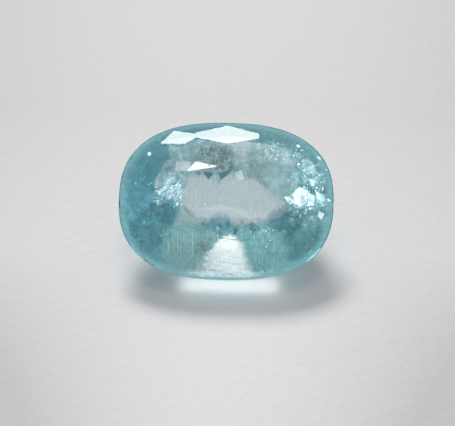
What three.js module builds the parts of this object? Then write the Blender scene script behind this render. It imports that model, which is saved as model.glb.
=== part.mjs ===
// A loose cut aquamarine: one transparent stone, ground flat facet by flat facet on a cushion-oval outline.
// The stone is first cut in its own frame, with the table facing +Z and the girdle on the plane z = 0.
// It is then tipped onto one of its pavilion facets, the way a loose stone lies on a table top.
import * as THREE from "three";

// Driving dimensions, in millimetres and degrees.
const LENGTH = 14.0;
const WIDTH = 10.55;
const OUTLINE_POWER = 2.5; // 2 would be an ellipse, and higher powers square the outline up
const GIRDLE_THICKNESS = 0.3;
const GIRDLE_FACETS = 96;
const ROUGH_MARGIN = 2; // how far the uncut rough stands outside the finished stone

// The crown, above the girdle.
const CROWN_FOLD = 14; // bezel facets round the stone
const TABLE_HEIGHT = 1.2;
const BEZEL_ANGLE = 30;
const UPPER_HALF_ANGLE = 35;
const UPPER_HALF_BITE = 0.03; // how far the upper halves are cut down into the girdle
const STAR_ANGLE = 20;
const STAR_INSET = 0.78; // where a star facet is set, as a share of the outline
const STAR_DROP = 0.31; // how far below the table it is set

// The pavilion, below the girdle.
const PAVILION_FOLD = 12; // main facets, and as many keel facets between them
const LOWER_HALF_ANGLE = 60;
const MAIN_ANGLE = 53;
const MAIN_INSET = 0.98;
const MAIN_DEPTH = 1.3;
const KEEL_ANGLE = 34;
const KEEL_END_STEEPENING = 10; // the keel facets at the ends are steeper than those at the sides by this
const KEEL_INSET = 0.66;
const KEEL_DEPTH = 3.0;
const CULET_SHIFT = new THREE.Vector2(0.3, -0.4); // the deepest point stands this far off centre

const UP = 1;
const DOWN = -1;
const CENTRED = new THREE.Vector2(0, 0);
const QUARTER_TURN = 90;
const WELD_DISTANCE = 0.002; // corners closer than this are one corner

const { degToRad } = THREE.MathUtils;

// The outline is a superellipse. Its points and outward normals share one parameter, in degrees.
function signedPower(value, exponent) {
  return Math.sign(value) * Math.abs(value) ** exponent;
}

function outlinePoint(turn, inset = 1) {
  const exponent = 2 / OUTLINE_POWER;
  const x = (LENGTH / 2) * signedPower(Math.cos(degToRad(turn)), exponent);
  const y = (WIDTH / 2) * signedPower(Math.sin(degToRad(turn)), exponent);
  return new THREE.Vector2(x * inset, y * inset);
}

function outlineNormal(turn) {
  const exponent = 2 - 2 / OUTLINE_POWER;
  const x = signedPower(Math.cos(degToRad(turn)), exponent) / (LENGTH / 2);
  const y = signedPower(Math.sin(degToRad(turn)), exponent) / (WIDTH / 2);
  return new THREE.Vector2(x, y).normalize();
}

// A facet is a plane that faces out along `heading`, tipped `angle` from the girdle plane, through a point.
function facet(heading, angle, side, point, height) {
  const flat = Math.sin(degToRad(angle));
  const normal = new THREE.Vector3(heading.x * flat, heading.y * flat, side * Math.cos(degToRad(angle)));
  const through = new THREE.Vector3(point.x, point.y, height);
  return new THREE.Plane().setFromNormalAndCoplanarPoint(normal, through);
}

// A facet that faces straight out at one place on the outline, or on the outline drawn in and shifted.
function facingFacet(turn, angle, side, height, inset = 1, shift = CENTRED) {
  return facet(outlineNormal(turn), angle, side, outlinePoint(turn, inset).add(shift), height);
}

// A facet that runs from one point of the girdle to another, so that its neighbours meet it there.
function halfFacet(from, to, angle, side, height) {
  const start = outlinePoint(from);
  const edge = outlinePoint(to).sub(start);
  const heading = new THREE.Vector2(edge.y, -edge.x).normalize();
  if (heading.dot(start) < 0) heading.negate();
  return facet(heading, angle, side, start, height);
}

// Keel facets are cut steeper as the outline turns towards the ends of the stone.
function keelAngle(turn) {
  return KEEL_ANGLE + KEEL_END_STEEPENING * Math.cos(degToRad(turn)) ** 2;
}

function girdleFacets() {
  const step = 360 / GIRDLE_FACETS;
  const turns = Array.from({ length: GIRDLE_FACETS }, (_, k) => (k + 0.5) * step);
  return turns.map((turn) => facingFacet(turn, QUARTER_TURN, UP, 0));
}

function crownFacets() {
  const step = 360 / CROWN_FOLD;
  const base = GIRDLE_THICKNESS / 2;
  const facets = [new THREE.Plane(new THREE.Vector3(0, 0, 1), -TABLE_HEIGHT)];
  for (let k = 0; k < CROWN_FOLD; k++) {
    const turn = QUARTER_TURN + k * step;
    facets.push(facingFacet(turn, BEZEL_ANGLE, UP, base));
    facets.push(halfFacet(turn, turn + step / 2, UPPER_HALF_ANGLE, UP, base - UPPER_HALF_BITE));
    facets.push(halfFacet(turn, turn - step / 2, UPPER_HALF_ANGLE, UP, base - UPPER_HALF_BITE));
    facets.push(facingFacet(turn + step / 2, STAR_ANGLE, UP, TABLE_HEIGHT - STAR_DROP, STAR_INSET));
  }
  return facets;
}

// The keel facet that faces -Y is the one the stone lies on.
function pavilionFacets() {
  const step = 360 / PAVILION_FOLD;
  const base = -GIRDLE_THICKNESS / 2;
  const facets = [];
  for (let k = 0; k < PAVILION_FOLD; k++) {
    const turn = QUARTER_TURN + k * step;
    const between = turn + step / 2;
    facets.push(halfFacet(between, turn, LOWER_HALF_ANGLE, DOWN, base));
    facets.push(halfFacet(between, turn + step, LOWER_HALF_ANGLE, DOWN, base));
    facets.push(facingFacet(between, MAIN_ANGLE, DOWN, -MAIN_DEPTH, MAIN_INSET, CULET_SHIFT));
    facets.push(facingFacet(turn, keelAngle(turn), DOWN, -KEEL_DEPTH, KEEL_INSET, CULET_SHIFT));
  }
  return facets;
}

// The rough is a box, held as a list of flat faces.
// Each face is a ring of corners that runs anticlockwise as seen from outside.
function roughBlock() {
  const box = new THREE.Vector3(LENGTH, WIDTH, LENGTH).addScalar(ROUGH_MARGIN).divideScalar(2);
  const faces = [];
  for (const axis of ["x", "y", "z"]) {
    const [second, third] = { x: ["y", "z"], y: ["z", "x"], z: ["x", "y"] }[axis];
    for (const side of [UP, DOWN]) {
      const ring = [[1, 1], [-1, 1], [-1, -1], [1, -1]].map(([along, across]) => {
        const corner = new THREE.Vector3();
        corner[axis] = side * box[axis];
        corner[second] = along * box[second];
        corner[third] = across * box[third];
        return corner;
      });
      faces.push(side === UP ? ring : ring.reverse());
    }
  }
  return faces;
}

// Cuts away what stands outside a plane, and closes the stone with the new facet.
function grind(faces, plane) {
  const kept = [];
  const rim = [];
  for (const ring of faces) {
    const cut = [];
    ring.forEach((corner, i) => {
      const next = ring[(i + 1) % ring.length];
      const here = plane.distanceToPoint(corner);
      const there = plane.distanceToPoint(next);
      if (here <= 0) cut.push(corner);
      if (here === 0) rim.push(corner);
      if (here * there < 0) {
        const crossing = corner.clone().lerp(next, here / (here - there));
        cut.push(crossing);
        rim.push(crossing);
      }
    });
    if (cut.length > 2) kept.push(cut);
  }
  if (rim.length > 2) kept.push(ringAround(rim, plane.normal));
  return kept;
}

// Orders the corners of a convex facet anticlockwise about its outward normal.
function ringAround(corners, normal) {
  const total = corners.reduce((sum, corner) => sum.add(corner), new THREE.Vector3());
  const middle = total.divideScalar(corners.length);
  const across = corners[0].clone().sub(middle).normalize();
  const along = new THREE.Vector3().crossVectors(normal, across);
  const bearing = (corner) => {
    const arm = corner.clone().sub(middle);
    return Math.atan2(arm.dot(along), arm.dot(across));
  };
  return [...corners].sort((a, b) => bearing(a) - bearing(b));
}

// Gives corners that nearly coincide one shared place, and drops the slivers that this leaves.
function weld(faces) {
  const places = [];
  const placeOf = (corner) => {
    const found = places.find((place) => place.distanceTo(corner) < WELD_DISTANCE);
    if (found) return found;
    places.push(corner);
    return corner;
  };
  return faces
    .map((ring) => ring.map(placeOf).filter((place, i, all) => place !== all[(i + 1) % all.length]))
    .filter((ring) => ring.length > 2);
}

function meshGeometry(faces) {
  const corners = [];
  for (const ring of faces) {
    for (let i = 1; i < ring.length - 1; i++) corners.push(ring[0], ring[i], ring[i + 1]);
  }
  const geometry = new THREE.BufferGeometry().setFromPoints(corners);
  geometry.computeVertexNormals();
  return geometry;
}

function cutStone() {
  const cuts = [...girdleFacets(), ...crownFacets(), ...pavilionFacets()];
  return meshGeometry(weld(cuts.reduce(grind, roughBlock())));
}

const aquamarine = new THREE.MeshStandardMaterial({
  color: 0x7fbcc4,
  roughness: 0.03,
  metalness: 0,
  transparent: true,
  opacity: 0.4,
});

const gem = new THREE.Mesh(cutStone(), aquamarine);
gem.name = "gem";

// Tipped by the keel angle, the keel facet that faces -Y lies flat, and the table leans the same way.
const stone = new THREE.Group();
gem.rotation.x = degToRad(KEEL_ANGLE);
gem.updateMatrixWorld(true);
const extent = new THREE.Box3().setFromObject(gem, true);
const middle = extent.getCenter(new THREE.Vector3());
gem.position.set(-middle.x, -middle.y, -extent.min.z);
stone.add(gem);

export default stone;
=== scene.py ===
"""A loose cushion-cut aquamarine, lying tipped on a pale grained table top in soft studio light."""
import functools
import math
import random

import bpy
from mathutils import Matrix, Vector, noise


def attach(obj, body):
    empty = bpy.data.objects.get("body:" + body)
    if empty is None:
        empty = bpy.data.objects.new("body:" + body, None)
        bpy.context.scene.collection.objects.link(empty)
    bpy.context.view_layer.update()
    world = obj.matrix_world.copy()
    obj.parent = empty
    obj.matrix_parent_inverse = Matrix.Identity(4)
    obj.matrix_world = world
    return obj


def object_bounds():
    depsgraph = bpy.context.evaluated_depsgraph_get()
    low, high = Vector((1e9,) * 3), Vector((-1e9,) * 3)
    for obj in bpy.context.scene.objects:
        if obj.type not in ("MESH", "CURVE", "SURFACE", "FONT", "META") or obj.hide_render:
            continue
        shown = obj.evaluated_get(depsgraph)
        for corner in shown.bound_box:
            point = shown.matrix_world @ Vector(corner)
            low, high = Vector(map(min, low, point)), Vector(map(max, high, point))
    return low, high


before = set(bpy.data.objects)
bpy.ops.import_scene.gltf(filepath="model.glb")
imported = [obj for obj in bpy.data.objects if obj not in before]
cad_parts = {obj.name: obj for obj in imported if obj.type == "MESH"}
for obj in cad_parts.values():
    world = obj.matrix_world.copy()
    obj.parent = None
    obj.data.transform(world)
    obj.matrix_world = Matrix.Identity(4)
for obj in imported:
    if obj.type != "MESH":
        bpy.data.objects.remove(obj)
cad_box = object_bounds()

MM = 0.001
SCENE = bpy.context.scene
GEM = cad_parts["gem"]
LOW, HIGH = cad_box
MIDDLE = (LOW + HIGH) / 2

# ---------------------------------------------------------------- the stone's own frame


def facet_planes(mesh):
    """The stone's facets as outward planes (normal, distance), each flat facet once, largest first."""
    areas = {}
    for face in mesh.polygons:
        key = tuple(round(c, 3) for c in face.normal)
        area, plane = areas.get(key, (0.0, None))
        plane = plane or (face.normal.copy(), face.normal.dot(face.center))
        areas[key] = (area + face.area, plane)
    ranked = sorted(areas.values(), key=lambda entry: -entry[0])
    return [plane for _, plane in ranked]


PLANES = facet_planes(GEM.data)
# The table is the largest facet that faces up.
TABLE_NORMAL, TABLE_REACH = next(plane for plane in PLANES if plane[0].z > 0)
# The girdle's facets are square to the table, and the pavilion's face away from it.
LEAST_CROWN_LEAN = 0.1
CROWN = [plane for plane in PLANES if plane[0].dot(TABLE_NORMAL) > LEAST_CROWN_LEAN]
ACROSS = Vector((1, 0, 0))
BACKWARD = TABLE_NORMAL.cross(ACROSS)


def in_stone(x, y, depth):
    """A place in the stone, in millimetres: x along it, y towards the back, depth under the table."""
    on_table = MIDDLE + TABLE_NORMAL * (TABLE_REACH - TABLE_NORMAL.dot(MIDDLE))
    return on_table + (ACROSS * x + BACKWARD * y - TABLE_NORMAL * depth) * MM


@functools.cache
def under_crown(x, y, below):
    """The depth that lies `below` millimetres under the crown's facets, table included."""
    start = in_stone(x, y, 0)
    facing_up = ((distance - normal.dot(start), normal.dot(TABLE_NORMAL)) for normal, distance in CROWN)
    return max((below - room / MM) / rise for room, rise in facing_up)


def span(direction):
    """The least and the greatest reach of the stone along a direction, in metres from its middle."""
    reaches = [direction.dot(corner.co - MIDDLE) for corner in GEM.data.vertices]
    return min(reaches), max(reaches)


OUTLINE_POWER = 2.5  # the superellipse that the girdle follows
NEAREST, FURTHEST = span(BACKWARD)
HALF_LENGTH = span(ACROSS)[1] / MM
HALF_WIDTH = (FURTHEST - NEAREST) / 2 / MM
GIRDLE_MIDDLE = (FURTHEST + NEAREST) / 2 / MM
GIRDLE_DEPTH = 1.2


def clearance(point):
    """How far inside the stone a point is, in metres; negative outside."""
    return min(distance - normal.dot(point) for normal, distance in PLANES)


# ---------------------------------------------------------------- node materials


def new_material(name):
    material = bpy.data.materials.new(name)
    material.use_nodes = True
    tree = material.node_tree
    tree.nodes.clear()
    return material, tree, tree.nodes.new("ShaderNodeOutputMaterial")


def sums(tree, value, *steps):
    """Applies a chain of math operations, each with one number, to a value."""
    for operation, number in steps:
        step = tree.nodes.new("ShaderNodeMath")
        step.operation = operation
        step.inputs[1].default_value = number
        tree.links.new(value, step.inputs[0])
        value = step.outputs["Value"]
    return value


def product(tree, first, second):
    step = tree.nodes.new("ShaderNodeMath")
    step.operation = "MULTIPLY"
    tree.links.new(first, step.inputs[0])
    tree.links.new(second, step.inputs[1])
    return step.outputs["Value"]


def uneven(tree, grain, low, high, least, most):
    """A grain's values between low and high, spread out to run from least to most."""
    spread = tree.nodes.new("ShaderNodeMapRange")
    spread.inputs["From Min"].default_value = low
    spread.inputs["From Max"].default_value = high
    spread.inputs["To Min"].default_value = least
    spread.inputs["To Max"].default_value = most
    tree.links.new(grain.outputs["Fac"], spread.inputs["Value"])
    return spread.outputs["Result"]


BERYL_IOR = 1.577
ABSORPTION_PER_MM = (0.060, 0.014, 0.010)  # in red, green and blue
ABSORPTION_DENSITY = 100.0  # per metre; the colour takes its share of this


def gem_material():
    """Clear beryl: plain transmission and IOR, with its colour from absorption along the way through."""
    material, tree, out = new_material("aquamarine")
    glass = tree.nodes.new("ShaderNodeBsdfPrincipled")
    glass.inputs["Base Color"].default_value = (1, 1, 1, 1)
    glass.inputs["Roughness"].default_value = 0.0
    glass.inputs["IOR"].default_value = BERYL_IOR
    glass.inputs["Transmission Weight"].default_value = 1.0
    tree.links.new(glass.outputs["BSDF"], out.inputs["Surface"])
    tint = tree.nodes.new("ShaderNodeVolumeAbsorption")
    colour = [1 - share / MM / ABSORPTION_DENSITY for share in ABSORPTION_PER_MM]
    tint.inputs["Color"].default_value = (*colour, 1)
    tint.inputs["Density"].default_value = ABSORPTION_DENSITY
    tree.links.new(tint.outputs["Volume"], out.inputs["Volume"])
    return material


GEM.data.materials.clear()
GEM.data.materials.append(gem_material())

# ---------------------------------------------------------------- what is sealed in the stone

RANDOM = random.Random(20)
# Wherever a place is tested, this is how far inside the facets it has to be.
KEEP_IN = 0.10 * MM

sealed_in = bpy.data.collections.new("sealed_in")


def link_piece(name, mesh, material):
    mesh.materials.append(material)
    piece = bpy.data.objects.new(name, mesh)
    SCENE.collection.objects.link(piece)
    sealed_in.objects.link(piece)
    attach(piece, "root")


class Joined:
    """Many small shapes collected into one mesh."""

    def __init__(self):
        self.points = []
        self.faces = []

    def add(self, points, faces):
        first = len(self.points)
        self.points += points
        self.faces += [tuple(first + i for i in face) for face in faces]

    def build(self, name, material):
        mesh = bpy.data.meshes.new(name)
        mesh.from_pydata(self.points, [], self.faces)
        link_piece(name, mesh, material)


def any_direction():
    return Vector([RANDOM.gauss(0, 1) for _ in range(3)]).normalized()


def fade(value, start, end):
    """0 up to start and 1 from end on, with a smooth rise between. It falls if end is below start."""
    share = min(max((value - start) / (end - start), 0), 1)
    return share * share * (3 - 2 * share)


def mottle(x, y, size, seed):
    """Smooth random patches of about the given size, from 0 to 1."""
    return 0.5 + 0.5 * noise.noise(Vector((x / size, y / size, seed)))


def blob(x, y, middle, reach):
    """A soft-edged ellipse: 1 inside and 0 outside."""
    off = math.hypot((x - middle[0]) / reach[0], (y - middle[1]) / reach[1])
    return fade(off, 1.25, 0.65)


def flake(shape, centre, radius, facing, sides=6):
    """A flat crystal plate."""
    first = facing.orthogonal().normalized()
    second = facing.cross(first)
    ring = []
    for i in range(sides):
        turn = 2 * math.pi * (i + 0.3 * RANDOM.random()) / sides
        outward = first * math.cos(turn) + second * math.sin(turn)
        ring.append(centre + outward * radius * RANDOM.uniform(0.7, 1))
    shape.add(ring, [tuple(range(sides))])


def speck(shape, centre, radius):
    """A small lump with eight faces."""
    tips = [Vector(tip) * radius * RANDOM.uniform(0.6, 1) for tip in
            ((1, 0, 0), (-1, 0, 0), (0, 1, 0), (0, -1, 0), (0, 0, 1), (0, 0, -1))]
    turn = Matrix.Rotation(RANDOM.uniform(0, math.pi), 3, any_direction())
    faces = [(0, 2, 4), (2, 1, 4), (1, 3, 4), (3, 0, 4), (2, 0, 5), (1, 2, 5), (3, 1, 5), (0, 3, 5)]
    shape.add([centre + turn @ tip for tip in tips], faces)


def fibre(shape, path, width):
    """A fine tube of three sides along a path."""
    ring = []
    for i, point in enumerate(path):
        ahead = path[min(i + 1, len(path) - 1)] - path[max(i - 1, 0)]
        first = ahead.orthogonal().normalized()
        second = ahead.normalized().cross(first)
        for k in range(3):
            turn = 2 * math.pi * k / 3
            ring.append(point + (first * math.cos(turn) + second * math.sin(turn)) * width / 2)
    faces = [(0, 2, 1), (len(ring) - 3, len(ring) - 2, len(ring) - 1)]
    for i in range(len(path) - 1):
        for k in range(3):
            here, beside = 3 * i + k, 3 * i + (k + 1) % 3
            faces.append((here, beside, beside + 3, here + 3))
    shape.add(ring, faces)


def wandering_path(start, end, wander, steps=14):
    """A path in the stone between two places in millimetres, that strays a little; clipped to the stone."""
    seed = RANDOM.uniform(0, 100)
    path = []
    for i in range(steps + 1):
        share = i / steps
        place = [a + (b - a) * share for a, b in zip(start, end)]
        place[0] += wander * noise.noise(Vector((2.5 * share, seed, 0)))
        place[1] += wander * noise.noise(Vector((2.5 * share, seed, 9)))
        point = in_stone(*place)
        if clearance(point) > KEEP_IN:
            path.append(point)
        elif path:
            break
    return path if len(path) > 2 else None


def thread(shape, start, end, wander, widths, steps=14):
    """A fibre along a wandering path, as wide as a random value between two widths in millimetres."""
    path = wandering_path(start, end, wander, steps)
    if path:
        fibre(shape, path, RANDOM.uniform(*widths) * MM)


def scatter_material(name, colour, cover=1.0, pattern=None):
    """Matter that scatters light both back and through, covering only part of what lies behind it."""
    material, tree, out = new_material(name)
    back = tree.nodes.new("ShaderNodeBsdfDiffuse")
    through = tree.nodes.new("ShaderNodeBsdfTranslucent")
    for shader in (back, through):
        shader.inputs["Color"].default_value = (*colour, 1)
    both = tree.nodes.new("ShaderNodeMixShader")
    tree.links.new(back.outputs["BSDF"], both.inputs[1])
    tree.links.new(through.outputs["BSDF"], both.inputs[2])
    clear = tree.nodes.new("ShaderNodeBsdfTransparent")
    mix = tree.nodes.new("ShaderNodeMixShader")
    mix.inputs["Fac"].default_value = cover
    if pattern:
        tree.links.new(pattern(tree, cover), mix.inputs["Fac"])
    tree.links.new(clear.outputs["BSDF"], mix.inputs[1])
    tree.links.new(both.outputs["Shader"], mix.inputs[2])
    tree.links.new(mix.outputs["Shader"], out.inputs["Surface"])
    return material


def veil_pattern(scale, stretch, contrast, least=0.0, most=1.0):
    """The cover of a veil: its own density broken up by fine grain, drawn out along the stone's y."""

    def pattern(tree, cover):
        place = tree.nodes.new("ShaderNodeAttribute")
        place.attribute_name = "place"
        squeeze = tree.nodes.new("ShaderNodeMapping")
        squeeze.inputs["Scale"].default_value = (scale, scale / stretch, scale)
        grain = tree.nodes.new("ShaderNodeTexNoise")
        grain.inputs["Scale"].default_value = 1
        grain.inputs["Detail"].default_value = 4
        thickness = tree.nodes.new("ShaderNodeAttribute")
        thickness.attribute_name = "thickness"
        tree.links.new(place.outputs["Vector"], squeeze.inputs["Vector"])
        tree.links.new(squeeze.outputs["Vector"], grain.inputs["Vector"])
        broken_up = uneven(tree, grain, 0.5 - contrast, 0.5 + contrast, least, most)
        return sums(tree, product(tree, broken_up, thickness.outputs["Fac"]), ("MULTIPLY", cover))

    return pattern


VEIL_STEP = 0.1
VEIL_REACH = (7, 5.5)


def veil(name, material, depth_at, density_at):
    """A thin sheet through the stone: a grid over x and y with its depth and density given by functions."""
    columns, rows = (round(2 * reach / VEIL_STEP) for reach in VEIL_REACH)
    index, points, places, densities = {}, [], [], []
    for j in range(rows + 1):
        for i in range(columns + 1):
            x, y = i * VEIL_STEP - VEIL_REACH[0], j * VEIL_STEP - VEIL_REACH[1]
            density = density_at(x, y)
            depth = depth_at(x, y)
            point = in_stone(x, y, depth)
            if density > 0 and clearance(point) > KEEP_IN:
                index[i, j] = len(points)
                points.append(point)
                places.append((x, y, depth))
                densities.append(density)
    faces = []
    for i, j in index:
        ring = [(i, j), (i + 1, j), (i + 1, j + 1), (i, j + 1)]
        if all(corner in index for corner in ring):
            faces.append([index[corner] for corner in ring])
    link_sheet(name, points, faces, places, densities, material)


def link_sheet(name, points, faces, places, densities, material):
    """A sheet whose corners carry their place in the stone and their density, for its material to read."""
    mesh = bpy.data.meshes.new(name)
    mesh.from_pydata(points, [], faces)
    mesh.attributes.new("place", "FLOAT_VECTOR", "POINT").data.foreach_set("vector", sum(places, ()))
    mesh.attributes.new("thickness", "FLOAT", "POINT").data.foreach_set("value", densities)
    link_piece(name, mesh, material)


RIM_STEPS = 192
RIM_RINGS = ((0.89, 0.0), (0.92, 0.4), (0.945, 0.8), (0.965, 1.0), (0.985, 1.0))  # (inset, density)


def build_rim(material):
    """Haze close under the girdle, all round: a flat ring that follows the outline."""
    points, places, densities, faces = [], [], [], []
    power = 2 / OUTLINE_POWER
    for inset, density in RIM_RINGS:
        for i in range(RIM_STEPS):
            turn = 2 * math.pi * i / RIM_STEPS
            along, across = math.cos(turn), math.sin(turn)
            x = inset * HALF_LENGTH * math.copysign(abs(along) ** power, along)
            y = inset * HALF_WIDTH * math.copysign(abs(across) ** power, across) + GIRDLE_MIDDLE
            points.append(in_stone(x, y, GIRDLE_DEPTH))
            places.append((x, y, GIRDLE_DEPTH))
            densities.append(density)
    for ring in range(len(RIM_RINGS) - 1):
        for i in range(RIM_STEPS):
            here, beside = ring * RIM_STEPS + i, ring * RIM_STEPS + (i + 1) % RIM_STEPS
            faces.append((here, beside, beside + RIM_STEPS, here + RIM_STEPS))
    link_sheet("veil_rim", points, faces, places, densities, material)


def column_edge(y):
    """The sharp left edge of the milky column, in x."""
    return -3.0 + 0.25 * y


def window_top(x):
    """The back edge of the grey window, in y: a notch left of the middle, and a fall to the right."""
    notch = 0.7 * max(0, 1 - abs(x + 0.6) / 0.5)
    return 1.7 - notch - 0.75 * max(0, x - 1.7)


def window_front(x):
    """The front edge of the window, in y, arched over a blue patch left of the middle."""
    arch = 0.6 * max(0, 1 - ((x + 0.3) / 0.85) ** 2)
    return arch - 1.35 + 0.4 * max(0, x - 2.0) + 0.12 * noise.noise(Vector((1.3 * x, 4, 0)))


def window_density(x, y):
    """Grey veil over the middle of the table."""
    sides = fade(x, column_edge(y) - 0.1, column_edge(y) + 0.3) * fade(x, 4.5, 3.6)
    front = window_front(x)
    return sides * fade(y, window_top(x) + 0.2, window_top(x) - 0.15) * fade(y, front - 0.3, front + 0.15)


def column_density(x, y):
    """Milky column down the left of the middle."""
    return fade(x, column_edge(y) - 0.05, column_edge(y) + 0.2) * fade(x, 0.2, -1.6) * fade(y, -0.7, -1.6)


def behind_density(x, y):
    """Green-grey haze between the window and the back of the table."""
    sides = fade(x, -3.0, -2.1) * fade(x, 3.3, 2.1)
    return sides * fade(y, window_top(x) - 0.1, window_top(x) + 0.2) * fade(y, 4.3, 3.0)


def painted_highlight_density(x, y):
    """Painted highlight: a white patch at the front, peaked right of the middle, and wider and thinner
    below.
    """
    ragged = 0.5 * (mottle(x, y, 0.3, 51) - 0.5) + 0.25 * (mottle(x, y, 0.15, 52) - 0.5)
    top = -2.0 - 0.55 * abs(x - 0.3) - 0.3 * fade(x, -0.3, -0.9) + ragged
    left, right = -1.35 + ragged, 0.95 - 0.4 * (y + 2.2) - 0.6 * ragged
    sides = fade(x, left - 0.1, left + 0.15) * fade(x, right + 0.25, right - 0.6)
    upper = sides * fade(y, top + 0.1, top - 0.2)
    lower = 0.75 * fade(x, -2.0, -1.1) * fade(x, 2.0, 0.9) * fade(y, -3.5, -4.0)
    lower *= 0.5 + 0.5 * fade(mottle(x, y, 0.4, 61), 0.3, 0.6)
    return max(upper * fade(y, -5.0, -4.2), lower)


def front_density(x, y):
    """Teal haze over the front of the table, clear of the painted highlight."""
    return fade(y, -1.3, -2.0) * fade(abs(x), 5.4, 3.6) * (1 - min(1, 1.6 * painted_highlight_density(x, y)))


def left_density(x, y):
    """Blue haze in the left end, reaching further in towards the back."""
    return fade(x - 0.4 * max(y, 0), -2.6, -4.0)


def right_density(x, y):
    """Pale haze in the right end and the back right."""
    return fade(x + 0.45 * y, 2.8, 5.0)


def glint_density(x, y):
    """Blue-white wisps right of the left end."""
    return blob(x, y, (-3.6, 0.7), (0.9, 0.7)) * mottle(x, y, 0.3, 5) ** 1.5


def smoke_density(x, y):
    """Dark smoke at the back of the table, left of the middle."""
    whole = max(blob(x, y, (-0.9, 3.1), (1.4, 0.8)), blob(x, y, (-0.6, 2.35), (1.2, 0.6)))
    return whole * (0.35 + 0.65 * fade(mottle(x, y, 0.55, 21), 0.38, 0.62))


def shade_density(x, y):
    """Painted shade: deep teal patches below the wisps, at the right of the window, and round the arch at
    its front.
    """
    left = max(blob(x, y, (-4.1, -0.7), (1.0, 0.9)), 0.75 * blob(x, y, (-5.0, -1.9), (1.4, 1.5)))
    right = max(blob(x, y, (4.3, -1.4), (1.3, 1.1)), 0.7 * blob(x, y, (5.1, -2.4), (1.3, 1.3)))
    back = max(0.5 * blob(x, y, (2.2, 2.2), (2.2, 0.6)), 0.5 * blob(x, y, (-4.3, 2.6), (1.2, 0.6)))
    return max(left, right, back) * (0.3 + 0.7 * fade(mottle(x, y, 0.8, 33), 0.35, 0.6))


def haze_density(x, y):
    """White haze at the very back of the table, right of the middle."""
    return blob(x, y, (0.6, 3.9), (1.5, 0.6))


def painted_flash_density(x, y):
    """Painted facet flashes: broken pale patches in the right end."""
    upper = max(blob(x, y, (5.1, 2.1), (0.9, 1.4)), blob(x, y, (4.3, 3.1), (0.8, 0.7)))
    lower = max(blob(x, y, (5.9, 0.6), (0.8, 1.2)), 0.8 * blob(x, y, (5.8, -0.9), (0.7, 0.7)))
    return max(upper, lower) * fade(mottle(x, y, 0.7, 41), 0.35, 0.65)


def arch_density(x, y):
    """Deep blue patch under the arch at the window's front, and two smaller ones beside it."""
    under = blob(x, y, (-0.35, -1.4), (0.75, 0.7))
    beside = max(blob(x, y, (1.9, -1.5), (0.55, 0.35)), 0.7 * blob(x, y, (-1.5, -1.7), (0.5, 0.4)))
    return max(under, 0.8 * beside)


def painted_arc_density(x, y):
    """Painted highlight: a pale arc across the window, with a second, straighter streak at its left, and a
    faint glow over the window.
    """
    arc = fade(abs(y + 0.25 + 0.13 * (x + 0.8) ** 2), 0.22, 0.03) * fade(x, -1.4, -0.2) * fade(x, 2.7, 1.9)
    streak = fade(abs(y + 0.45), 0.14, 0.02) * fade(x, -2.2, -1.4) * fade(x, 0.3, -0.6)
    glow = 0.35 * blob(x, y, (0.6, -0.9), (2.4, 0.6))
    return max(arc, 0.8 * streak, glow)


def lip_density(x, y):
    """White mist along the front edge, under the painted highlight."""
    return fade(abs(x + 0.05), 2.9, 1.6) * fade(y, -4.1, -4.5)


def body_density(size, seed):
    """Broad mottling that leaves the window and the painted highlight clearer."""

    def density(x, y):
        clear = max(window_density(x, y), painted_highlight_density(x, y))
        return mottle(x, y, size, seed) * (1 - 0.85 * clear)

    return density


def under(below):
    """The depth of a veil that stays `below` millimetres under the crown."""
    return lambda x, y: under_crown(x, y, below)


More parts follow.
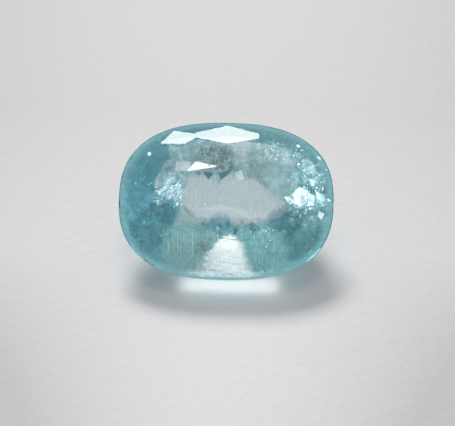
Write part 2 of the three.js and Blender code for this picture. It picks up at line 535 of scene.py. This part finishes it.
def build_veils():
    fine = veil_pattern(scale=9, stretch=6, contrast=0.25, least=0.4, most=0.7)
    streaked = veil_pattern(scale=13, stretch=2.5, contrast=0.16, least=0.3, most=1.0)
    speckled = veil_pattern(scale=9, stretch=1, contrast=0.12, least=0.05, most=1.0)
    cloudy = veil_pattern(scale=2.2, stretch=1.2, contrast=0.14)
    broken = veil_pattern(scale=3.2, stretch=1.2, contrast=0.2, least=0.2)
    thick = veil_pattern(scale=5, stretch=1.5, contrast=0.2, least=0.8)
    wispy = veil_pattern(scale=4, stretch=0.4, contrast=0.2, least=0.3)
    frosty = veil_pattern(scale=3.5, stretch=1.0, contrast=0.16)
    stormy = veil_pattern(scale=5, stretch=1.0, contrast=0.15, least=0.25)
    # Painted highlight: a pale arc and glow across the window.
    veil("painted_arc_veil", scatter_material("painted_arc_pink", (0.688, 0.671, 0.671), 0.5, wispy),
         under(0.3), painted_arc_density)
    veil("veil_haze", scatter_material("veil_haze", (0.602, 0.654, 0.645), 0.4, wispy),
         under(0.35), haze_density)
    veil("veil_smoke", scatter_material("veil_smoke", (0.043, 0.0946, 0.0946), 0.9, speckled),
         under(0.35), smoke_density)
    veil("veil_arch", scatter_material("veil_deep", (0.043, 0.155, 0.241), 0.9, broken),
         under(0.35), arch_density)
    # Painted facet flashes in the right end.
    veil("painted_flash_veil", scatter_material("painted_flash_veil", (0.43, 0.619, 0.671), 0.7, frosty),
         under(0.3), painted_flash_density)
    # Painted shade: a dark teal sheet where the stone looks dark.
    veil("veil_shade", scatter_material("veil_shade", (0.043, 0.129, 0.146), 0.9, stormy),
         under(0.4), shade_density)
    veil("veil_window", scatter_material("veil_grey", (0.396, 0.396, 0.404), 1.0, fine),
         under(0.45), window_density)
    veil("veil_column", scatter_material("veil_green", (0.206, 0.327, 0.327), 0.85, streaked),
         under(0.4), column_density)
    veil("veil_behind", scatter_material("veil_moss", (0.145, 0.262, 0.255), 0.8, broken),
         under(0.5), behind_density)
    # Painted highlight: a white sheet at the front of the stone.
    veil("painted_highlight_veil", scatter_material("painted_highlight_white", (0.97, 0.97, 0.97), 1.0, thick),
         under(0.45), painted_highlight_density)
    veil("veil_front", scatter_material("veil_front", (0.22, 0.415, 0.425), 0.9, broken),
         under(0.6), front_density)
    veil("veil_lip", scatter_material("veil_lip", (0.533, 0.602, 0.619), 0.95, wispy),
         lambda x, y: 1.12, lip_density)
    build_rim(scatter_material("veil_rim", (0.19, 0.38, 0.41), 0.95, thick))
    veil("veil_left", scatter_material("veil_blue", (0.0602, 0.198, 0.258), 0.75, broken),
         lambda x, y: 1.3, left_density)
    veil("veil_right", scatter_material("veil_pale", (0.165, 0.32, 0.335), 0.7, broken),
         lambda x, y: 1.3, right_density)
    veil("veil_glints", scatter_material("veil_glints", (0.65, 0.85, 0.95), 0.7, cloudy),
         under(0.5), glint_density)
    teal = scatter_material("veil_teal", (0.0946, 0.241, 0.267), 0.52, cloudy)
    veil("veil_girdle", teal, lambda x, y: 1.2, body_density(1.8, 3))
    veil("veil_middle", teal, lambda x, y: 2.1 - 0.15 * y, body_density(1.5, 7))
    veil("veil_lower", teal, lambda x, y: 3.3 - 0.1 * x, body_density(1.2, 11))


def strew(count, x_range, y_range, depth_range, place_one):
    """Calls place_one at random places of a block of the stone, given in millimetres."""
    made = 0
    for _ in range(20 * count):
        if made == count:
            return
        point = in_stone(RANDOM.uniform(*x_range), RANDOM.uniform(*y_range), RANDOM.uniform(*depth_range))
        if clearance(point) > KEEP_IN:
            place_one(point)
            made += 1


FILM_PLACES = 2600  # a film forms at about half of them, in drifts
FILM_RADIUS = (0.03, 0.14)


def build_films():
    """Faint films scattered through most of the stone."""
    films = Joined()

    def one(point):
        if noise.noise(point / (1.6 * MM)) > RANDOM.uniform(-0.5, 0.4):
            flake(films, point, RANDOM.uniform(*FILM_RADIUS) * MM, any_direction(), sides=5)

    strew(FILM_PLACES, (-7, 7), (-5.5, 5.5), (0.1, 5), one)
    films.build("films", scatter_material("film", (0.473, 0.731, 0.757), 0.2))


def build_sparkles():
    """Little cracks painted bright as glints, in clusters: back right, right end, left end and right of the
    painted highlight.
    """
    bright, faint = Joined(), Joined()

    def sized(least, most, cluster=0.5):
        def one(point):
            if noise.noise(point / (cluster * MM)) < 0.05:
                return
            radius = least + (most - least) * RANDOM.random() ** 3
            facing = (TABLE_NORMAL + 0.5 * any_direction()).normalized()
            flake(bright if RANDOM.random() < 0.4 else faint, point, radius * MM, facing, sides=5)
        return one

    strew(420, (1.9, 4.1), (2.9, 4.4), (0.2, 0.6), sized(0.02, 0.06, 0.3))
    strew(460, (4.2, 6.8), (-0.8, 3.8), (0.3, 1.4), sized(0.02, 0.12, 0.4))
    strew(260, (-4.6, -2.8), (-0.2, 1.6), (0.3, 1.2), sized(0.02, 0.11, 0.4))
    strew(200, (1.8, 3.2), (-2.8, -1.6), (0.2, 0.6), sized(0.015, 0.06, 0.3))
    strew(360, (-6.8, 6.8), (-5.1, 5.1), (0.3, 2.0), sized(0.015, 0.06))
    # Painted glints: a bright point left of the middle, and one near each back corner.
    flake(bright, in_stone(-1.35, -0.12, 0.3), 0.05 * MM, TABLE_NORMAL)
    for x, y in ((-5.05, 3.3), (4.6, 4.0)):
        flake(bright, in_stone(x, y, under_crown(x, y, 0.2)), 0.15 * MM, TABLE_NORMAL, sides=8)
    bright.build("sparkles", scatter_material("painted_glint_bright", (0.98, 1.0, 1.0), 0.95))
    faint.build("faint_sparkles", scatter_material("painted_glint_faint", (0.70, 0.90, 0.97), 0.6))


# Each fan of fibres is (x, y, how many).
LEFT_FANS = ((-3.6, 0.7, 26), (-4.1, 1.0, 18), (-3.2, 1.1, 16))
RIGHT_FANS = ((5.0, 2.2, 14), (5.6, 1.4, 14), (5.9, 0.2, 12))


def build_painted_glint_streaks():
    """Painted glints: blue-white streaks in the two ends, each a fan of short fine fibres."""
    streaks = Joined()
    for x, y, count in LEFT_FANS + RIGHT_FANS:
        for _ in range(count):
            turn = RANDOM.gauss(0.7, 0.25)
            begin = (x + RANDOM.gauss(0, 0.4), y + RANDOM.gauss(0, 0.3), under_crown(x, y, 0.3) + 0.15)
            length = RANDOM.uniform(0.1, 0.45)
            along, across = length * math.cos(turn), length * math.sin(turn)
            finish = (begin[0] + along, begin[1] + across, begin[2] + 0.1)
            thread(streaks, begin, finish, 0.03, (0.015, 0.04), steps=5)
    streaks.build("painted_glint_streaks", scatter_material("painted_glint_streak", (0.75, 0.90, 0.97), 0.7))


def build_dark_specks():
    """Dark grains: densest at the back of the table, and more down the column and beside the window."""
    grains = Joined()

    def fine(point):
        speck(grains, point, RANDOM.uniform(0.012, 0.05) * MM)

    def coarse(point):
        speck(grains, point, RANDOM.uniform(0.05, 0.09) * MM)

    strew(260, (-1.9, 0.5), (2.3, 3.7), (0.25, 0.6), fine)
    strew(22, (-1.7, 0.4), (2.4, 3.6), (0.25, 0.6), coarse)
    strew(170, (-3.9, -0.8), (-4.9, -1.7), (0.3, 1.4), fine)
    strew(120, (-4.9, -3.3), (-1.3, -0.1), (0.3, 0.8), fine)
    strew(90, (3.4, 4.9), (-1.3, 0.0), (0.3, 0.8), fine)
    grains.build("dark_grains", scatter_material("dark_grain", (0.0258, 0.0602, 0.0688), 0.8))
    brown = Joined()
    speck(brown, in_stone(3.35, -1.45, 0.4), 0.09 * MM)
    brown.build("brown_grain", scatter_material("brown_grain", (0.189, 0.0946, 0.0602), 0.9))


def build_growth_lines():
    """Fine pale threads that run from the back of the stone to the front."""
    threads = Joined()
    for _ in range(150):
        x = RANDOM.uniform(-4.2, 3.2)
        y = RANDOM.uniform(-4.6, 1.2)
        depth = RANDOM.uniform(0.25, 1.4)
        length = RANDOM.uniform(0.4, 2.4)
        finish = (x + 0.06 * length, y - length, depth + 0.1)
        thread(threads, (x, y, depth), finish, 0.03, (0.008, 0.016))
    threads.build("growth_lines", scatter_material("thread", (0.602, 0.705, 0.705), 0.6))


def build_dark_fibres():
    """Dark fibres over the painted highlight, fanning out to the right, with a tangle on its left."""
    dark = Joined()
    for i in range(34):
        y = -3.5 - 0.045 * i + RANDOM.uniform(-0.1, 0.1)
        x = RANDOM.uniform(-1.7, 0.9)
        reach = RANDOM.uniform(0.5, 1.8)
        fall = y - 0.35 * reach * RANDOM.random()
        begin = (x, y, under_crown(x, y, 0.3))
        finish = (x + reach, fall, under_crown(x + reach, fall, 0.3))
        thread(dark, begin, finish, 0.16, (0.008, 0.019))
    for _ in range(34):
        x, y = RANDOM.uniform(-1.8, -1.0), RANDOM.uniform(-3.6, -2.4)
        finish = (x + RANDOM.uniform(-0.5, 0.5), y + RANDOM.uniform(-0.6, 0.6), 0.42)
        thread(dark, (x, y, 0.35), finish, 0.5, (0.015, 0.035))
    for offset, width in ((0.0, 0.04), (-0.14, 0.02), (0.16, 0.02)):
        begin = (-1.1 + offset, -2.55 + offset, 0.3)
        path = wandering_path(begin, (0.9, -2.35 + offset, 0.3), 0.2, steps=20)
        if path:
            fibre(dark, path, width * MM)
    for _ in range(22):
        x, y = RANDOM.uniform(-2.2, 2.0), RANDOM.uniform(-5.0, -4.4)
        finish = (x + RANDOM.uniform(0.4, 1.2), y - 0.05, 1.05)
        thread(dark, (x, y, 1.0), finish, 0.15, (0.015, 0.03))
    dark.build("dark_fibres", scatter_material("dark_fibre", (0.13, 0.19, 0.20), 0.7))


def plate(shape, corners):
    """A flat plate just under the crown, with its corners in order as (x, y) in the stone's millimetres."""
    places = [in_stone(x, y, under_crown(x, y, 0.3)) for x, y in corners]
    middle = sum(places, Vector()) / len(places)
    shape.add([*places, middle], [(i, (i + 1) % len(places), len(places)) for i in range(len(places))])


def strew_facets(shape, count, x_range, y_range, sizes):
    """Small flat plates with straight edges, at random places just under the crown."""
    for _ in range(count):
        x, y = RANDOM.uniform(*x_range), RANDOM.uniform(*y_range)
        place = in_stone(x, y, under_crown(x, y, RANDOM.uniform(0.2, 0.6)))
        if clearance(place) > KEEP_IN:
            facing = (TABLE_NORMAL + 0.3 * any_direction()).normalized()
            radius = RANDOM.uniform(*sizes) * MM
            flake(shape, place, radius, facing, sides=RANDOM.choice((4, 4, 5)))


def build_painted_facet_reflections():
    """Painted facet reflections: faint pale angular faces in the two ends and at the back, and dark ones
    round the arch and the window.
    """
    pale, dark = Joined(), Joined()
    strew_facets(pale, 46, (4.0, 6.4), (-1.6, 3.4), (0.1, 0.36))
    strew_facets(pale, 26, (-4.6, -2.9), (-0.1, 1.7), (0.08, 0.26))
    strew_facets(pale, 16, (1.6, 4.0), (2.2, 4.2), (0.08, 0.22))
    strew_facets(pale, 18, (-1.5, 2.6), (-2.2, -1.4), (0.05, 0.18))
    strew_facets(dark, 20, (-1.6, 1.9), (-2.2, -1.3), (0.1, 0.34))
    strew_facets(dark, 12, (-4.7, -3.3), (-1.5, -0.1), (0.1, 0.32))
    strew_facets(dark, 16, (3.5, 4.9), (-2.0, -0.5), (0.1, 0.36))
    strew_facets(dark, 10, (-2.0, 0.9), (1.9, 3.5), (0.08, 0.24))
    strew_facets(dark, 10, (-6.2, -4.2), (-3.0, -0.8), (0.12, 0.34))
    # Painted facet reflections, pale and dark.
    pale.build("painted_pale_reflections", scatter_material("painted_pale_reflection", (0.50, 0.70, 0.76), 0.38, frosted(0.2, 1.0)))
    dark.build("painted_dark_reflections", scatter_material("painted_dark_reflection", (0.04, 0.13, 0.175), 0.72, frosted(0.25, 1.0)))


FROST_SCALE = 2500  # noise cells per metre


def frosted(least, most):
    """The cover of a flat plate's face, uneven at a few tenths of a millimetre."""

    def pattern(tree, cover):
        place = tree.nodes.new("ShaderNodeTexCoord")
        grain = tree.nodes.new("ShaderNodeTexNoise")
        grain.inputs["Scale"].default_value = FROST_SCALE
        grain.inputs["Detail"].default_value = 3
        tree.links.new(place.outputs["Object"], grain.inputs["Vector"])
        return uneven(tree, grain, 0.35, 0.6, least * cover, most * cover)

    return pattern


def build_flash():
    """Crack plates with painted reflections: grey steps and a white sliver behind the window, and painted
    flashes at the right end.
    """
    grey, white, flashes, dark = Joined(), Joined(), Joined(), Joined()
    plate(grey, [(-3.3, 2.75), (-2.3, 2.7), (-2.45, 2.05), (-3.35, 2.1)])
    plate(white, [(-2.6, 2.05), (-2.05, 2.7), (-1.95, 2.72), (-0.65, 2.45), (-0.6, 2.4)])
    plate(dark, [(-1.55, 2.05), (-0.85, 1.95), (-1.15, 1.5)])
    plate(dark, [(-0.5, 2.0), (0.3, 2.15), (-0.05, 1.75), (-0.4, 1.5)])
    plate(grey, [(0.55, 2.05), (1.0, 2.2), (1.15, 1.6), (0.75, 1.45)])
    plate(flashes, [(4.3, 0.7), (4.7, 1.15), (5.25, 0.95), (5.2, 0.1), (4.75, -0.2), (4.4, 0.1)])
    plate(flashes, [(5.3, 0.85), (5.7, 0.65), (5.65, 0.0), (5.25, -0.05)])
    plate(flashes, [(3.75, 0.45), (4.15, 0.5), (4.45, 0.05), (4.15, -0.1)])
    plate(flashes, [(5.75, 1.0), (6.3, 0.8), (6.4, 0.35), (5.85, 0.45)])
    plate(flashes, [(5.35, 1.75), (5.7, 1.7), (5.65, 1.3), (5.45, 1.35)])
    plate(flashes, [(6.0, -0.3), (6.35, -0.45), (6.15, -0.85), (5.9, -0.7)])
    # Painted reflections: the grey steps, the white sliver and the right end's flashes.
    grey.build("painted_reflection_steps", scatter_material("painted_reflection_grey", (0.568, 0.602, 0.611), 0.8, frosted(0.5, 1.0)))
    dark.build("crack_dark", scatter_material("crack_dark", (0.043, 0.138, 0.172), 0.85))
    white.build("painted_reflection_sliver", scatter_material("painted_reflection_white", (1.0, 1.0, 1.0), 1.0))
    flashes.build("painted_flash_plates", scatter_material("painted_flash_white", (0.95, 0.98, 1.0), 0.95, frosted(0.4, 1.0)))


build_veils()
build_films()
build_sparkles()
build_painted_glint_streaks()
build_dark_specks()
build_growth_lines()
build_dark_fibres()
build_flash()
build_painted_facet_reflections()

# ---------------------------------------------------------------- the table top

FLOOR_SIDE = 0.6
FLOOR_GAP = 0.02 * MM  # the stone's rest facet touches only the highest of the grain
FLOOR_TONE = (0.83, 0.82, 0.83)
GRAIN_SCALE = 2000  # grain cells per metre
GRAIN_HEIGHT = 0.09 * MM


def floor_material():
    """Pale fine-grained leatherette, with painted shade: a little greyer at the sides, most of all in the
    near corners, and greyer towards the back.
    """
    material, tree, out = new_material("pale_grain")
    skin = tree.nodes.new("ShaderNodeBsdfPrincipled")
    skin.inputs["Roughness"].default_value = 0.62
    place = tree.nodes.new("ShaderNodeTexCoord")
    apart = tree.nodes.new("ShaderNodeSeparateXYZ")
    tree.links.new(place.outputs["Object"], apart.inputs["Vector"])
    # Painted shade: darker towards the sides, and more so towards the near corners.
    painted_side_shade = sums(tree, apart.outputs["X"], ("DIVIDE", 14 * MM), ("POWER", 2), ("MULTIPLY", -0.072))
    nearness = sums(tree, apart.outputs["Y"], ("DIVIDE", -4.2 * MM), ("ADD", 1), ("MAXIMUM", 1),
                    ("MINIMUM", 6))
    corners = sums(tree, product(tree, painted_side_shade, nearness), ("ADD", 1), ("MAXIMUM", 0.75))
    # Painted shade: darker towards the back.
    depth = sums(tree, apart.outputs["Y"], ("ADD", 8 * MM), ("DIVIDE", 25 * MM), ("POWER", 2),
                 ("MULTIPLY", -0.12), ("ADD", 1), ("MAXIMUM", 0.9))
    tone = tree.nodes.new("ShaderNodeVectorMath")
    tone.operation = "SCALE"
    tone.inputs[0].default_value = FLOOR_TONE
    tree.links.new(product(tree, corners, depth), tone.inputs["Scale"])
    tree.links.new(tone.outputs["Vector"], skin.inputs["Base Color"])
    grain = tree.nodes.new("ShaderNodeTexVoronoi")
    grain.feature = "SMOOTH_F1"
    grain.inputs["Scale"].default_value = GRAIN_SCALE
    tree.links.new(place.outputs["Object"], grain.inputs["Vector"])
    bump = tree.nodes.new("ShaderNodeBump")
    bump.inputs["Distance"].default_value = GRAIN_HEIGHT
    bump.inputs["Strength"].default_value = 0.5
    tree.links.new(grain.outputs["Distance"], bump.inputs["Height"])
    tree.links.new(bump.outputs["Normal"], skin.inputs["Normal"])
    tree.links.new(skin.outputs["BSDF"], out.inputs["Surface"])
    return material


def build_floor():
    half = FLOOR_SIDE / 2
    mesh = bpy.data.meshes.new("floor")
    corners = [(-half, -half, 0), (half, -half, 0), (half, half, 0), (-half, half, 0)]
    mesh.from_pydata(corners, [], [(0, 1, 2, 3)])
    floor = bpy.data.objects.new("floor", mesh)
    floor.location.z = -FLOOR_GAP
    floor.data.materials.append(floor_material())
    SCENE.collection.objects.link(floor)


build_floor()

# ---------------------------------------------------------------- light


def towards(elevation, azimuth):
    """The direction at an elevation above the table top, with azimuth 0 at the back and 90 to the right."""
    up, round_ = math.radians(elevation), math.radians(azimuth)
    return Vector((math.cos(up) * math.sin(round_), math.cos(up) * math.cos(round_), math.sin(up)))


LAMP_DISTANCE = 0.4


def softbox(name, elevation, azimuth, width, height, radiance, colour=(1, 1, 1)):
    """A rectangular area light that faces the stone; width and height are as seen from it, in radians."""
    light = bpy.data.lights.new(name, "AREA")
    light.shape = "RECTANGLE"
    light.size = width * LAMP_DISTANCE
    light.size_y = height * LAMP_DISTANCE
    light.energy = radiance * math.pi * light.size * light.size_y
    light.color = colour
    box = bpy.data.objects.new(name, light)
    direction = towards(elevation, azimuth)
    box.location = MIDDLE + direction * LAMP_DISTANCE
    box.rotation_euler = direction.to_track_quat("Z", "Y").to_euler()
    SCENE.collection.objects.link(box)
    return box


def stand_in(box, receivers):
    """Makes a lamp stand in for light that the stone gathers: unseen, shadowless, on only some pieces."""
    box.data.use_shadow = False
    box.visible_camera = box.visible_glossy = box.visible_transmission = False
    box.light_linking.receiver_collection = receivers


CAUSTIC_SIZE = (6.4 * MM, 1.45 * MM)
CAUSTIC_PLACE = Vector((0.3, -3.15, 0.5)) * MM
CAUSTIC_RADIANCE = 0.85


def build_caustic():
    """The bright bar that the stone throws on the table top under its near side."""
    light = bpy.data.lights.new("caustic", "AREA")
    light.shape = "RECTANGLE"
    light.size, light.size_y = CAUSTIC_SIZE
    light.energy = CAUSTIC_RADIANCE * math.pi * light.size * light.size_y
    bar = bpy.data.objects.new("caustic", light)
    bar.location = CAUSTIC_PLACE
    SCENE.collection.objects.link(bar)
    lit = bpy.data.collections.new("lit_by_caustic")
    lit.objects.link(bpy.data.objects["floor"])
    stand_in(bar, lit)


BACK_LAMP = {"elevation": 53, "azimuth": -14, "width": 0.36, "height": 0.28}


def build_lamps():
    """The softboxes. Most aren't seen through the stone, where they would show as hard white blocks."""
    gathered = softbox("gathered", elevation=70, azimuth=180, width=1.2, height=1.2, radiance=5.6)
    stand_in(gathered, sealed_in)
    overhead = softbox("overhead", elevation=83, azimuth=180, width=0.26, height=0.22, radiance=4)
    overhead.visible_transmission = False
    back = softbox("back", **BACK_LAMP, radiance=10.5, colour=(1, 0.98, 0.97))
    back.visible_transmission = False
    soft = softbox("back_soft", **BACK_LAMP, radiance=7)
    soft.visible_glossy = soft.visible_transmission = False
    side = softbox("side", elevation=54, azimuth=-150, width=0.22, height=0.22, radiance=4)
    side.visible_diffuse = False


build_caustic()
build_lamps()


ROOM_TONE = (0.41, 0.41, 0.415)


def build_world():
    world = bpy.data.worlds.new("studio")
    SCENE.world = world
    world.use_nodes = True
    world.node_tree.nodes["Background"].inputs["Color"].default_value = (*ROOM_TONE, 1)


build_world()

# ---------------------------------------------------------------- camera

CAMERA_ELEVATION = 42
CAMERA_AZIMUTH = 1.5
CAMERA_DISTANCE = 0.13
VIEW_WIDTH = 29.7 * MM
AIM = Vector((0.1, -0.6, 0.2)) * MM
SENSOR_WIDTH = 36


def build_camera():
    data = bpy.data.cameras.new("camera")
    data.sensor_width = SENSOR_WIDTH
    data.lens = SENSOR_WIDTH * CAMERA_DISTANCE / VIEW_WIDTH
    data.clip_start = 0.01
    camera = bpy.data.objects.new("camera", data)
    back = towards(CAMERA_ELEVATION, 180 - CAMERA_AZIMUTH)
    camera.location = MIDDLE + AIM + back * CAMERA_DISTANCE
    camera.rotation_euler = back.to_track_quat("Z", "Y").to_euler()
    SCENE.collection.objects.link(camera)
    SCENE.camera = camera


FACET_BOUNCES = 32
VEIL_CROSSINGS = 64


def allow_long_light_paths():
    """Lets light turn at many facets and pass many veils before it is given up."""
    SCENE.cycles.max_bounces = FACET_BOUNCES
    SCENE.cycles.transmission_bounces = FACET_BOUNCES
    SCENE.cycles.transparent_max_bounces = VEIL_CROSSINGS


build_camera()
allow_long_light_paths()
SCENE.view_settings.view_transform = "Standard"
